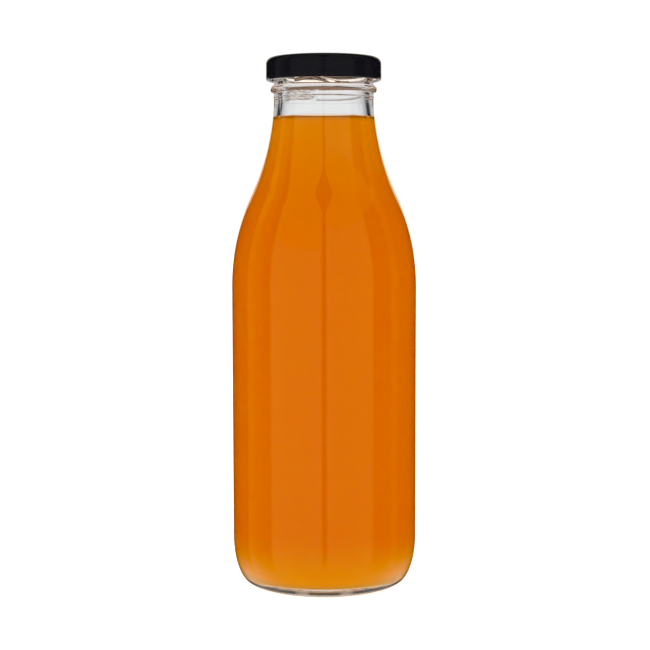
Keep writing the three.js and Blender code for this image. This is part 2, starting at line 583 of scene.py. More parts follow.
@dataclass(frozen=True)
class OrangeDrink(Finish):
    """A cloudy orange drink with fine pulp through it, painted lighter near the neck and heel as if lit
    through where it is thin.

    Light that grazes it from within the glass is wholly reflected, as in a real filled bottle.
    """

    name: str = "orange_drink"
    body: Colour = (0.715, 0.179, 0.0022)
    # painted light: lighter, yellower tones near the neck and the heel stand in for light shining through
    # the thin drink
    neck: Colour = (0.71, 0.236, 0.003)
    neck_heights: Span = mm_span(160.0, 203.0)
    heel: Colour = (0.70, 0.26, 0.003)
    heel_heights: Span = mm_span(6.0, 28.0)
    pulp: Colour = (0.74, 0.205, 0.006)
    pulp_share: float = 0.3
    # painted shade: a darker band just under the drink's level
    rim: Colour = (0.53, 0.205, 0.030)
    rim_heights: Span = mm_span(200.9, 202.4)
    # painted shade: darker, redder where the surface turns away from the eye
    painted_edge_shade: Colour = (0.55, 0.25, 0.018)
    turned_from: Span = (0.42, 0.58)
    # painted highlight: a cream line low on the drink's foot, shown only where it is seen aslant
    foot: Colour = (1.0, 0.80, 0.52)
    foot_turned: Span = (0.40, 0.52)
    foot_reach: Span = mm_span(28.0, 26.2)
    foot_heights: Span = mm_span(6.0, 12.0)
    mirror: Colour = (0.92, 0.86, 0.76)
    mirror_turned: Span = (0.72, 0.86)
    roughness: float = 0.03
    scatter_depth: float = mm(4.0)
    scatter_colour: Colour = (1.0, 0.35, 0.05)
    relief: Relief = Relief(mm(12.0), mm(0.02), mm(0.9), mm(0.01))

    def build(self) -> bpy.types.Material:
        """Makes the material.

        Returns:
            The drink's material.
        """
        made, nodes, shader = self.material()
        x, y, height = nodes.split(nodes.where())
        facing = nodes.facing()
        ripple, pits = RippleGroup.placed(nodes, self.relief)
        # painted highlight: where the cream line at the foot shows
        painted_foot_highlight = nodes.product(
            nodes.remap(nodes.reach(x, y), *self.foot_reach),
            nodes.remap(height, *self.foot_heights, 1.0, 0.0),
            nodes.remap(facing, *self.foot_turned),
        )
        mirror = nodes.remap(facing, *self.mirror_turned)
        colour = nodes.layered(rgba(self.body), (
            # painted light: lighter tones near the neck and the heel
            (nodes.remap(height, *self.neck_heights), rgba(self.neck)),
            (nodes.remap(height, *self.heel_heights, 1.0, 0.0), rgba(self.heel)),
            (nodes.math("MULTIPLY", pits, self.pulp_share), rgba(self.pulp)),
            # painted shade: darker band just under the level
            (nodes.remap(height, *self.rim_heights, smooth=False), rgba(self.rim)),
            # painted shade: darker where the surface turns away
            (nodes.remap(facing, *self.turned_from), rgba(self.painted_edge_shade)),
            # painted highlight: cream line at the foot
            (painted_foot_highlight, rgba(self.foot)),
            (mirror, rgba(self.mirror)),
        ))
        nodes.fill(shader, {
            "Base Color": colour,
            "Metallic": mirror,
            "Roughness": self.roughness,
            "Specular IOR Level": 0.0,
            "Subsurface Weight": 1.0,
            "Subsurface Radius": self.scatter_colour,
            "Subsurface Scale": self.scatter_depth,
            "Normal": self.bump(nodes, ripple),
        })
        return made


@dataclass(frozen=True)
class DrinkFilm(Finish):
    """The thin rim of the drink where it climbs the glass: paler upwards; seen edge-on it turns dark and
    glows orange with painted light.
    """

    name: str = "drink_film"
    bend: float = 1.04
    heights: Span = mm_span(202.3, 204.1)
    uneven: float = mm(0.12)
    tints: Stops = (
        (0.0, (0.72, 0.42, 0.12)), (0.16, (0.90, 0.56, 0.26)), (0.36, (0.96, 0.71, 0.47)),
        (0.56, (0.985, 0.82, 0.68)), (0.78, (0.99, 0.93, 0.87)), (1.0, (1.0, 0.99, 0.98)),
    )
    cloud: Colour = (0.02, 0.006, 0.001)
    # painted light: an orange glow where the film is seen edge-on, standing in for lit drink
    painted_edge_glow: Colour = (0.34, 0.12, 0.008)
    cloud_turned: Span = (0.20, 0.29)
    cloud_top: Span = mm_span(203.2, 203.5)
    relief: Relief = Relief(mm(4.0), mm(0.01), mm(1.2), mm(0.002))

    def build(self) -> bpy.types.Material:
        """Makes the material.

        Returns:
            The film's material.
        """
        made, nodes, shader = self.material()
        _, _, height = nodes.split(nodes.where())
        ripple, pits = RippleGroup.placed(nodes, self.relief)
        ragged = nodes.math("MULTIPLY_ADD", pits, self.uneven, height)
        tint = nodes.ramp(nodes.remap(ragged, *self.heights, smooth=False), self.tints)
        low_part = nodes.remap(height, *self.cloud_top, 1.0, 0.0)
        cloudy = nodes.math("MULTIPLY", nodes.remap(nodes.facing(), *self.cloud_turned), low_part)
        nodes.fill(shader, {
            "Base Color": nodes.mix(cloudy, tint, rgba(self.cloud)),
            # painted light: the film glows where seen edge-on
            "Emission Color": nodes.mix(cloudy, rgba(BLACK), rgba(self.painted_edge_glow)),
            "Emission Strength": 1.0,
            "Roughness": 0.0,
            "IOR": self.bend,
            "Transmission Weight": 1.0,
            "Normal": self.bump(nodes, ripple),
        })
        return made


@dataclass(frozen=True)
class Lacquer(Finish):
    """Baked lacquer on pressed sheet: a soft orange peel and a little fine dust."""

    name: str = "black_lacquer"
    colour: Colour = (0.0325, 0.0322, 0.0345)
    worn: Colour = (0.0375, 0.037, 0.0395)
    dust_share: float = 0.5
    dust_dulls: float = 0.06
    shine: float = 0.06
    roughness: float = 0.14
    # painted sheen: a colour laid into the base colour where the surface turns away from the eye, if any
    edge: Colour | None = None
    edge_turned: Span = (0.60, 0.86)
    relief: Relief = Relief(mm(1.6), mm(0.0025), mm(0.35), mm(0.0008))

    def build(self) -> bpy.types.Material:
        """Makes the material.

        Returns:
            The lacquer's material, with its painted sheen where it turns away, if it has one.
        """
        made, nodes, shader = self.material()
        ripple, pits = RippleGroup.placed(nodes, self.relief)
        tone = nodes.mix(nodes.math("MULTIPLY", pits, self.dust_share), rgba(self.colour), rgba(self.worn))
        if self.edge is not None:
            # painted sheen where the surface turns away
            tone = nodes.mix(nodes.remap(nodes.facing(), *self.edge_turned), tone, rgba(self.edge))
        nodes.fill(shader, {
            "Base Color": tone,
            "Roughness": nodes.math("MULTIPLY_ADD", pits, self.dust_dulls, self.roughness),
            "Specular IOR Level": self.shine,
            "Normal": self.bump(nodes, ripple),
        })
        return made


@dataclass(frozen=True)
class RollLacquer(Lacquer):
    """The lacquer on the lid's rolled foot, with a painted grey sheen where it turns away."""

    name: str = "roll_lacquer"
    # painted sheen: grey where the roll turns away
    edge: Colour | None = (0.34, 0.34, 0.35)


@dataclass(frozen=True)
class Lining(Finish):
    """The lid's inside coat: pale on the roll with a painted glow, darkened by painted shade where the
    skirt turns in, tan further up.
    """

    name: str = "inner_lining"
    heights: Span = mm_span(219.0, 229.0)
    # painted shade: the tones darken where the skirt turns in; greyer at the roll's lowest edge, pale on
    # the roll, tan further up
    tones: Stops = (
        (0.08, (0.53, 0.57, 0.60)), (0.13, (0.92, 0.94, 0.96)), (0.20, (0.92, 0.94, 0.96)),
        (0.24, (0.46, 0.43, 0.41)), (0.295, (0.13, 0.10, 0.085)), (0.50, (0.34, 0.205, 0.14)),
    )
    # painted light: the pale roll glows as if lit through the glass
    glow: Stops = ((0.10, BLACK), (0.14, (0.95, 0.88, 0.78)), (0.195, (0.95, 0.88, 0.78)), (0.24, BLACK))
    faded: Colour = (0.6, 0.5, 0.42)
    faded_share: float = 0.10
    roughness: float = 0.4
    relief: Relief = Relief(mm(3.0), mm(0.004), mm(0.6), mm(0.0008))

    def build(self) -> bpy.types.Material:
        """Makes the material.

        Returns:
            The lining's material, which glows a little on the roll, as if lit through the glass.
        """
        made, nodes, shader = self.material()
        _, _, height = nodes.split(nodes.where())
        ripple, pits = RippleGroup.placed(nodes, self.relief)
        climb = nodes.remap(height, *self.heights, smooth=False)
        faded = nodes.math("MULTIPLY", pits, self.faded_share)
        nodes.fill(shader, {
            "Base Color": nodes.mix(faded, nodes.ramp(climb, self.tones), rgba(self.faded)),
            "Emission Color": nodes.ramp(climb, self.glow),
            "Emission Strength": 1.0,
            "Roughness": self.roughness,
            "Normal": self.bump(nodes, ripple),
        })
        return made


@dataclass(frozen=True)
class PaleFloor(Finish):
    """A plain white studio floor that glows a little, so that it stays white in the picture."""

    name: str = "pale_floor"
    colour: Colour = (0.80, 0.80, 0.80)
    speckle: Colour = (0.78, 0.78, 0.78)
    roughness: float = 0.9
    glow: float = 0.38
    seen_glow: float = 0.2
    dimmed: float = 0.33
    relief: Relief = Relief(mm(50.0), mm(0.05), mm(2.0), mm(0.01))

    def build(self) -> bpy.types.Material:
        """Makes the material.

        Returns:
            The floor's material, brighter to the eye and dimmer through glass.
        """
        made, nodes, shader = self.material()
        _, pits = RippleGroup.placed(nodes, self.relief)
        path = nodes.place("ShaderNodeLightPath").outputs
        seen = nodes.math("MULTIPLY_ADD", path["Is Camera Ray"], self.seen_glow, self.glow)
        through = nodes.math("MULTIPLY", path["Is Transmission Ray"], self.dimmed)
        nodes.fill(shader, {
            "Base Color": nodes.mix(pits, rgba(self.colour), rgba(self.speckle)),
            "Roughness": self.roughness,
            "Specular IOR Level": 0.0,
            "Emission Color": rgba(WHITE),
            "Emission Strength": nodes.math("SUBTRACT", seen, through),
        })
        return made


@dataclass(frozen=True)
class BottleShape:
    """Sizes of the glass bottle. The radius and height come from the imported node."""

    body_radius: float
    rim_top: float
    base_ring_outer: float = mm(32.8)
    base_ring_inner: float = mm(30.4)
    base_ring_round: float = mm(0.6)
    push_up_step: float = mm(0.9)
    push_up_height: float = mm(3.4)
    heel_height: float = mm(20.1)
    shoulder_start: float = mm(129.8)
    shoulder_round: float = mm(96.0)
    shoulder_turn: float = mm(170.3)
    neck_start: float = mm(208.4)
    neck_radius: float = mm(21.7)
    seam_level: float = mm(212.0)
    seam_rise: float = mm(0.12)
    seam_half: float = mm(0.45)
    seam_rows: Span = mm_span(209.2, 213.6)
    mould_seam_turn: float = math.radians(-147.0)
    mould_seam_rise: float = mm(0.12)
    mould_seam_half: float = math.radians(1.6)
    mould_seam_foot: float = mm(205.0)
    mould_seam_fade: float = mm(4.0)
    bead_height: float = mm(215.33)
    bead_half: float = mm(1.6)
    bead_radius: float = mm(23.1)
    rim_round: float = mm(1.2)
    thread_rows: Span = mm_span(217.4, 226.4)
    lug_count: int = 4
    lug_radius: float = mm(22.7)
    lug_half_arc: float = math.radians(26.0)
    lug_half_height: float = mm(1.15)
    lug_fullness: float = 1.35
    lug_level: float = mm(220.9)
    lug_slope: float = math.radians(13.5)
    lug_turn: float = math.radians(-97.0)
    bore_radius: float = mm(18.2)
    bore_bottom: float = mm(212.8)
    bore_edge: float = mm(0.04)
    bore_top: float = mm(226.0)
    bore_taper_end: float = mm(203.8)
    bore_foot_radius: float = mm(19.1)
    bore_margin: float = mm(0.4)
    shoulder_rows_top: float = mm(203.3)
    body_rows: Span = mm_span(120.0, 30.0)
    wall: float = mm(2.5)
    wall_full_at: float = mm(186.0)
    inner_heel_top: float = mm(21.5)
    inner_base_radius: float = mm(26.0)
    inner_base_edge: float = mm(4.2)
    inner_base_centre: float = mm(7.4)
    hair: float = mm(0.01)

    @classmethod
    def from_frame(cls) -> "BottleShape":
        """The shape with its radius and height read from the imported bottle."""
        low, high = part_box("bottle")
        return cls(body_radius=(high.x - low.x) / 2, rim_top=high.z)

    def shoulder_radius(self, z: float) -> float:
        """Works out the shoulder, a round arc that turns into a hollow one.

        Args:
            z: Height on the shoulder.

        Returns:
            The outer radius there.
        """
        round_centre = self.body_radius - self.shoulder_round
        if z <= self.shoulder_turn:
            return round_centre + math.sqrt(self.shoulder_round**2 - (z - self.shoulder_start) ** 2)
        turn = math.asin((self.shoulder_turn - self.shoulder_start) / self.shoulder_round)
        turn_radius = round_centre + self.shoulder_round * math.cos(turn)
        drop, rise = turn_radius - self.neck_radius, self.neck_start - self.shoulder_turn
        hollow = math.hypot(drop, rise) / 2 / math.sin(turn - math.atan2(drop, rise))
        centre_z = self.shoulder_turn + hollow * math.sin(turn)
        centre_r = turn_radius + hollow * math.cos(turn)
        return centre_r - math.sqrt(hollow**2 - (z - centre_z) ** 2)

    def outer_radius(self, z: float) -> float:
        """Outer radius from the top of the heel to the foot of the neck."""
        return self.shoulder_radius(z) if z > self.shoulder_start else self.body_radius

    def inner_radius(self, z: float) -> float:
        """Works out the inside: a wall that thins upwards, then a taper into the straight bore.

        Args:
            z: Height above the inner heel.

        Returns:
            The inner radius there.
        """
        if z >= self.bore_bottom:
            return self.bore_radius
        if z >= self.bore_taper_end:
            share = (self.bore_bottom - z) / (self.bore_bottom - self.bore_taper_end)
            return self.bore_radius + (self.bore_foot_radius - self.bore_radius) * share
        thin = self.outer_radius(self.bore_taper_end) - self.bore_foot_radius
        share = (self.bore_taper_end - z) / (self.bore_taper_end - self.wall_full_at)
        return self.outer_radius(z) - thin - (self.wall - thin) * float(smooth_step(np.array(share)))

    def base_points(self) -> list[Point]:
        """Draws the push-up under the base, the standing ring and the heel.

        Returns:
            The points, outwards and up.
        """
        foot = self.base_ring_round
        heel_across = self.body_radius - self.base_ring_outer
        dome_reach = (self.base_ring_inner, self.push_up_height - self.push_up_step)
        return [
            *arc((0.0, self.push_up_step), dome_reach, 90, 4, 14),
            *arc((self.base_ring_inner + foot, foot), (foot, foot), 180, 270, 5),
            *arc((self.base_ring_outer, self.heel_height), (heel_across, self.heel_height), -90, 0, 40),
        ]

    def wall_points(self) -> list[Point]:
        """Draws the straight body and the shoulder.

        Returns:
            The points, going up.
        """
        body = np.linspace(self.heel_height, self.shoulder_start, 14)[1:-1]
        shoulder = np.linspace(self.shoulder_start, self.neck_start, 58)
        return [(self.outer_radius(float(z)), float(z)) for z in (*body, *shoulder)]

    def finish_points(self) -> list[Point]:
        """Draws the neck with its seam, the bead, the band of the thread and the rounded rim.

        Returns:
            The points, up the outside and over the rim.
        """
        neck, turn = self.neck_radius, self.rim_round
        rim_level = self.rim_top - turn
        return [
            *((neck, float(z)) for z in np.linspace(*self.seam_rows, 34)),
            *arc((neck, self.bead_height), (self.bead_radius - neck, self.bead_half), -90, 90, 18),
            *((neck, float(z)) for z in np.linspace(*self.thread_rows, 46)),
            *arc((neck - turn, rim_level), (turn, turn), 0, 90, 7),
            *arc((self.bore_radius + turn, rim_level), (turn, turn), 90, 180, 7),
        ]

    def inside_points(self, top: float, gap: float) -> list[Point]:
        """Draws the inside of the bottle, from a level down to the axis.

        Args:
            top: Height of the first point.
            gap: Distance inwards from the glass, or into it where it is less than 0.

        Returns:
            The points going down the wall, round the inner heel and to the axis.
        """
        crease, margin = self.bore_bottom, self.bore_margin
        stops = np.concatenate([
            np.linspace(self.bore_top, crease + margin, 6),
            np.linspace(crease + self.bore_edge, crease - self.bore_edge, 3),
            np.linspace(crease - margin, self.bore_taper_end, 30),
            np.linspace(self.shoulder_rows_top, self.shoulder_start, 56),
            np.linspace(*self.body_rows, 8),
        ])
        wall = [float(z) for z in (top, *stops[stops < top - margin / 2])]
        base = self.inner_base_radius - gap
        across = self.inner_radius(self.inner_heel_top) - self.inner_base_radius
        edge_z, centre_z = self.inner_base_edge + gap, self.inner_base_centre + gap
        heel = arc((base, self.inner_heel_top), (across, self.inner_heel_top - edge_z), 0, -90, 24)
        floor = [
            (base * (1 - t), edge_z + (centre_z - edge_z) * math.sin(t * math.pi / 2))
            for t in np.linspace(0.0, 1.0, 9)[1:]
        ]
        return [*((self.inner_radius(z) - gap, z) for z in wall), *heel, *floor]

    def moulded(self, radius: np.ndarray, height: np.ndarray, angle: np.ndarray) -> np.ndarray:
        """Adds the neck seam, the upright mould seams and the thread lugs to the outer wall.

        Args:
            radius: Radius of each corner.
            height: Height of each corner.
            angle: Angle of each corner round the axis.

        Returns:
            The new radius of each corner.
        """
        added = self.seam_rise * np.clip(1 - ((height - self.seam_level) / self.seam_half) ** 2, 0, 1)
        faded_in = smooth_step((height - self.mould_seam_foot) / self.mould_seam_fade)
        for turn in (self.mould_seam_turn, self.mould_seam_turn + math.pi):
            near = np.clip(1 - (angle_between(angle, turn) / self.mould_seam_half) ** 2, 0, 1)
            added = np.maximum(added, self.mould_seam_rise * near * faded_in)
        for number in range(self.lug_count):
            off = angle_between(angle, self.lug_turn + number * FULL_TURN / self.lug_count)
            level = self.lug_level + math.tan(self.lug_slope) * self.neck_radius * off
            along = np.sqrt(np.clip(np.cos(np.clip(off / self.lug_half_arc, -1, 1) * math.pi / 2), 0, 1))
            across = smooth_step(self.lug_fullness * (1 - np.abs(height - level) / self.lug_half_height))
            added = np.maximum(added, (self.lug_radius - self.neck_radius) * along * across)
        return radius + np.where(radius > self.neck_radius - self.hair, added, 0.0)


@dataclass
class GlassBottle:
    """The clear bottle: body, shoulder, neck, bead, thread and the hollow inside."""

    shape: BottleShape
    finish: ClearGlass
    sharp: float = 50.0

    def build(self) -> bpy.types.Object:
        """Makes the bottle's mesh and dresses it.

        Returns:
            The bottle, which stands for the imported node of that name.
        """
        shape = self.shape
        profile = [
            *shape.base_points(),
            *shape.wall_points(),
            *shape.finish_points(),
            *shape.inside_points(shape.rim_top - shape.rim_round, 0.0)[1:],
        ]
        piece = new_object("glass_bottle", *revolved(profile, shape.moulded), self.sharp)
        piece.data.materials.append(self.finish.build())
        return piece


@dataclass
class Drink:
    """The drink up to its level, and the thin film where it climbs the glass."""

    shape: BottleShape
    finish: OrangeDrink
    film_finish: DrinkFilm
    into_wall: float = mm(0.08)
    film_over: float = mm(0.15)
    film_rise: float = mm(1.7)
    film_width: float = mm(1.3)
    film_foot: float = mm(0.12)
    film_hollow: float = 2.6
    film_root: float = mm(0.02)
    sharp: float = 60.0

    def __post_init__(self) -> None:
        """Works the drink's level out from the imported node's highest point."""
        self.film_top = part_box("drink")[1].z + self.film_over
        self.level = self.film_top - self.film_rise

    def build(self) -> list[bpy.types.Object]:
        """Makes the drink and its film, and dresses both.

        Returns:
            The two pieces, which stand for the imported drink.
        """
        outline = self.shape.inside_points(self.level, -self.into_wall)
        wall_radius = outline[0][0]
        crown = [(wall_radius * (1 - t), self.level) for t in np.linspace(0, 1, 12)[1:]]
        body = new_object("drink_body", *revolved([*reversed(outline), *crown]), self.sharp)
        body.data.materials.append(self.finish.build())
        film = new_object("drink_film", *revolved(self._film_profile(wall_radius)), self.sharp)
        film.data.materials.append(self.film_finish.build())
        return [body, film]

    def _film_profile(self, wall_radius: float) -> list[Point]:
        """Draws the film's section, a wedge with a hollow inner face.

        Args:
            wall_radius: Radius of the drink at its level.

        Returns:
            The points of the closed section.
        """
        outer_top = self.shape.inner_radius(self.film_top) + self.into_wall
        hollow = []
        for t in np.linspace(0.0, 1.0, 14):
            z = self.level + self.film_rise * t
            width = self.film_width * (1 - t) ** self.film_hollow + self.film_foot * (1 - t)
            hollow.append((self.shape.inner_radius(z) + self.into_wall - width, z))
        low = self.level - self.film_root
        foot = [(hollow[0][0], low), (wall_radius, low), (wall_radius, self.level)]
        return [*foot, (outer_top, self.film_top), *reversed(hollow[:-1])]


@dataclass
class TwistLid:
    """The pressed lid: sunk panel, round corner, skirt, rolled foot and four lugs."""

    outside: Lacquer
    lining: Lining
    foot: Lacquer
    wider: float = mm(0.11)
    corner: float = mm(2.75)
    sheet: float = mm(0.32)
    curl_height: float = mm(1.9)
    curl_width: float = mm(1.7)
    panel_radius: float = mm(19.5)
    panel_drop: float = mm(0.35)
    panel_rows: tuple[float, ...] = (0.9, 0.7, 0.45, 0.2, 0.0)
    panel_round: float = mm(0.17)
    panel_slope: float = mm(0.1)
    lug_count: int = 4
    lug_inner: float = mm(22.05)
    lug_half_arc: float = math.radians(13.0)
    lug_height: float = mm(1.2)
    lug_turn: float = math.radians(66.0)
    lug_root: float = 0.55
    lug_back: float = 0.4
    lug_tip: float = 0.02
    lug_thin: float = 0.35
    bare_radius: float = mm(24.35)
    foot_height: float = mm(0.85)
    foot_drop: float = mm(0.18)
    liner_outer: float = mm(22.0)
    liner_inner: float = mm(17.9)
    liner_drop: float = mm(0.42)
    liner_round: float = mm(0.2)
    liner_slope: float = mm(0.5)
    sharp: float = 45.0

    def __post_init__(self) -> None:
        """Works the lid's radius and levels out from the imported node."""
        low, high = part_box("lid")
        self.radius = (high.x - low.x) / 2 + self.wider
        self.bottom, self.top = low.z - self.foot_drop, high.z
        self.under_panel = self.top - self.panel_drop - self.sheet

    def _outer_face(self) -> list[Point]:
        """Draws the lacquered outside.

        Returns:
            The points from the skirt up, round the corner and in to the axis.
        """
        corner, small = self.corner, self.panel_round
        panel_z = self.top - self.panel_drop
        return [
            *arc((self.radius - corner, self.top - corner), (corner, corner), 0, 90, 16),
            *arc((self.panel_radius + self.panel_drop, self.top - small), (small, small), 90, 150, 4),
            *arc((self.panel_radius - self.panel_slope, panel_z + small), (small, small), -30, -90, 4),
            *((self.panel_radius * t, panel_z) for t in self.panel_rows),
        ]

    def _inner_face(self) -> list[Point]:
        """Draws the inside of the sheet with the sealing ring.

        Returns:
            The points from the axis out and down the skirt.
        """
        under, small = self.under_panel, self.liner_round
        low = under - self.liner_drop + small
        turn = self.corner - self.sheet
        bend_centre = (self.radius - self.sheet - turn, self.top - self.corner)
        return [
            (0.0, under),
            (self.liner_inner / 2, under),
            (self.liner_inner - self.liner_slope, under),
            *arc((self.liner_inner, low), (small, small), 180, 270, 3),
            *arc((self.liner_outer - small, low), (small, small), -90, 0, 3),
            (self.liner_outer, under),
            *arc(bend_centre, (turn, turn), 70, 0, 9),
        ]

    def _roll(self) -> list[Point]:
        """The foot rolled inwards, round from its free edge inside to the skirt outside."""
        centre = (self.radius - self.curl_width / 2, self.bottom + self.curl_height / 2)
        return arc(centre, (self.curl_width / 2, self.curl_height / 2), 70, 360, 30)

    def build(self) -> bpy.types.Object:
        """Makes the lid's mesh and dresses it.

        Returns:
            The lid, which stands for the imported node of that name.
        """
        inner, roll, outer = self._inner_face(), self._roll(), self._outer_face()
        corners, faces = revolved([*inner, *roll, *outer])
        lug_corners, lug_faces = self._lugs(len(corners))
        everything = np.vstack([corners, lug_corners])
        piece = new_object("twist_lid", everything, [*faces, *lug_faces], self.sharp)
        for finish in (self.outside, self.lining, self.foot):
            piece.data.materials.append(finish.build())
        rings = len(inner) + len(roll) + len(outer) - 2
        for number, face in enumerate(piece.data.polygons[: len(faces)]):
            row = number // AROUND
            reach = math.hypot(face.center.x, face.center.y)
            on_inner_fan = row >= rings - 1 and face.center.z < self.under_panel + self.sheet / 2
            on_roll = face.center.z < self.bottom + self.curl_height and reach < self.bare_radius
            if row < len(inner) - 1 or on_inner_fan or on_roll:
                face.material_index = Coat.LINING
            elif face.center.z < self.bottom + self.foot_height:
                face.material_index = Coat.FOOT
        return piece

    def _lugs(self, offset: int) -> tuple[np.ndarray, Faces]:
        """Makes the inward lugs of the roll, rounded crescents that taper away at both ends.

        Args:
            offset: Number of the first corner.

        Returns:
            The corner positions and the faces of all lugs.
        """
        steps, around = 24, 16
        root = self.radius - self.curl_width * self.lug_root
        level = self.bottom + self.curl_height / 2
        corners: list[tuple[float, float, float]] = []
        faces: Faces = []
        for number in range(self.lug_count):
            middle = self.lug_turn + number * FULL_TURN / self.lug_count
            start = offset + len(corners)
            for step in range(steps + 1):
                share = -1 + 2 * step / steps
                full = math.sqrt(max(self.lug_tip, math.cos(share * math.pi / 2)))
                height = self.lug_height / 2 * (self.lug_thin + (1 - self.lug_thin) * full)
                turn = middle + share * self.lug_half_arc
                for a in np.arange(around) * FULL_TURN / around:
                    radius = root - (root - self.lug_inner) * full * max(-self.lug_back, math.cos(a))
                    z = level + height * math.sin(a)
                    corners.append((radius * math.cos(turn), radius * math.sin(turn), z))
            for step in range(steps):
                ring = start + step * around
                for k in range(around):
                    first, second = ring + k, ring + (k + 1) % around
                    faces.append((first, second, second + around, first + around))
            faces.append(tuple(start + k for k in reversed(range(around))))
            faces.append(tuple(start + steps * around + k for k in range(around)))
        return np.array(corners), faces


@dataclass
class Studio:
    """The white studio: soft light all round, a pale floor and the camera.

    The light depends on direction alone: on the elevation and on the bearing, which is 0 on the
    camera's side and positive to the right.
    """

    lens: float = 80.9
    sensor: float = 36.0
    distance: float = 0.640
    eye_level: float = 0.16637
    pitch: float = math.radians(4.775)
    roll: float = math.radians(-0.107)
    aside: float = mm(0.38)
    clip: Span = (0.01, 50.0)
    floor_half: float = 4.0
    floor_cells: int = 8
    floor_sunk: float = mm(0.05)
    dome: float = 1.0
    backdrop: float = 0.83
    white: float = 1.05
    black_level: float = 0.03
    overhead: float = 0.56
    overhead_from: Span = degrees(15.0, 21.0)
    low_strips: tuple[float, ...] = (0.42, 0.3, 0.12, 0.12)
    level_strips: tuple[float, ...] = (0.5, 0.3, 0.0, 0.0)
    level_from: Span = degrees(-9.0, -4.0)
    high_strips: tuple[float, ...] = (0.85, 0.8, 0.0, 0.6)
    high_tint: Colour = (1.0, 0.95, 0.55)
    high_from_left: Span = degrees(16.0, 30.0)
    high_from: Span = degrees(31.5, 34.5)
    gap_edge: Span = degrees(0.9, 4.4)
    gap_ends: Span = degrees(-22.0, -27.0)
    wide_gap_from: Span = degrees(38.3, 51.0)
    wide_gap: Span = degrees(-0.7, 20.0)
    wide_gap_edge: float = math.radians(0.7)
    behind_from: Span = degrees(-2.0, 10.0)
    behind: Span = degrees(169.0, 151.0)
    behind_edge: float = math.radians(5.0)
    behind_light: Colour = (0.95, 0.86, 0.68)
    floor_from: Span = degrees(-13.0, -38.0)
    floor_light: Span = (0.88, 1.3)
    floor_light_turn: Span = degrees(70.0, 115.0)
    own_shadow: float = 0.2
    own_shadow_turn: Span = degrees(138.0, 160.0)
    beneath_from: Span = degrees(-62.0, -76.0)

    @staticmethod
    def _mirrored(streak: float, right_streak: float, dark: float, right_dark: float) -> Bands:
        """Lists what a polished upright wall mirrors, all the way round, but for the gap in front.

        Args:
            streak: Brightness of the light strip on the left.
            right_streak: Brightness of the light strip on the right.
            dark: Brightness of the dark strip beside the front panel on the left.
            right_dark: Brightness of the dark strip on the right.

        Returns:
            Bearing in degrees and brightness of each stop.
        """
        return (
            (-180, 1.0), (-174, 1.0), (-171, 0.02), (-112, 0.02), (-108, streak), (-98, streak),
            (-95, 0.3), (-83, 0.2), (-80, dark), (-71, dark), (-68, 0.93), (-30, 0.97), (-5, 1.0),
            (5, 1.0), (12, 0.96), (61.5, 0.92), (65, right_dark), (89, right_dark),
            (93, right_streak), (101, right_streak), (106, 0.02), (171, 0.02), (174, 1.0), (180, 1.0),
        )

    @staticmethod
    def _seen_through() -> Bands:
        """What shows through clear glass, the same on both sides."""
        side = ((112, 0.9), (122, 0.03), (145, 0.03), (150, 0.5), (160, 0.7), (167, 1.0), (180, 1.0))
        return (*((-bearing, light) for bearing, light in reversed(side)), *side)

    @staticmethod
    def _band_light(nodes: Nodes, turn: Socket, bands: Bands, tint: Colour) -> Socket:
        """Reads the light of one direction off a set of bands.

        Args:
            nodes: The world's nodes.
            turn: The bearing in radians.
            bands: Bearing in degrees and brightness of each stop.
            tint: Colour of the light.

        Returns:
            The light's colour.
        """
        stops = tuple(
            ((bearing + 180.0) / 360.0, tuple(light * part for part in tint)) for bearing, light in bands
        )
        return nodes.ramp(nodes.math("MULTIPLY_ADD", turn, 1.0 / FULL_TURN, 0.5), stops)

    def _walls(self, nodes: Nodes, turn: Socket, elevation: Socket) -> Socket:
        """Joins the low, level and high walls that polished glass mirrors.

        Args:
            nodes: The world's nodes.
            turn: The bearing in radians.
            elevation: The elevation in radians.

        Returns:
            The walls' colour.
        """
        low = self._band_light(nodes, turn, self._mirrored(*self.low_strips), WHITE)
        level = self._band_light(nodes, turn, self._mirrored(*self.level_strips), WHITE)
        high = self._band_light(nodes, turn, self._mirrored(*self.high_strips), self.high_tint)
        on_left = nodes.math("LESS_THAN", turn, 0.0)
        high_on_left = nodes.math("MULTIPLY", on_left, nodes.remap(elevation, *self.high_from_left))
        high_up = nodes.math("MAXIMUM", high_on_left, nodes.remap(elevation, *self.high_from))
        return nodes.layered(low, ((nodes.remap(elevation, *self.level_from), level), (high_up, high)))

    def _gap(self, nodes: Nodes, off_middle: Socket, elevation: Socket) -> Socket:
        """Finds the dark gap in front, which ends low down and widens high up.

        Args:
            nodes: The world's nodes.
            off_middle: The bearing to either side, in radians.
            elevation: The elevation in radians.

        Returns:
            0 in the gap and 1 beside it.
        """
        narrow = nodes.remap(off_middle, *self.gap_edge)
        ended = nodes.remap(elevation, *self.gap_ends)
        half = nodes.remap(elevation, *self.wide_gap_from, *self.wide_gap, smooth=False)
        wide = nodes.remap(nodes.math("SUBTRACT", off_middle, half), 0.0, self.wide_gap_edge)
        return nodes.math("MINIMUM", nodes.math("MAXIMUM", narrow, ended), wide)

    def _floor_light(self, nodes: Nodes, off_middle: Socket, elevation: Socket) -> Socket:
        """Works out the floor's light, dimmer in the bottle's own shadow and straight beneath.

        Args:
            nodes: The world's nodes.
            off_middle: The bearing to either side, in radians.
            elevation: The elevation in radians.

        Returns:
            The floor's brightness.
        """
        light = nodes.remap(off_middle, *self.floor_light_turn, *self.floor_light)
        shadow = nodes.remap(off_middle, *self.own_shadow_turn)
        shadow = nodes.math("MAXIMUM", shadow, nodes.remap(elevation, *self.beneath_from))
        shaded = nodes.remap(shadow, 0.0, 1.0, 1.0, self.own_shadow, smooth=False)
        return nodes.math("MULTIPLY", light, shaded)

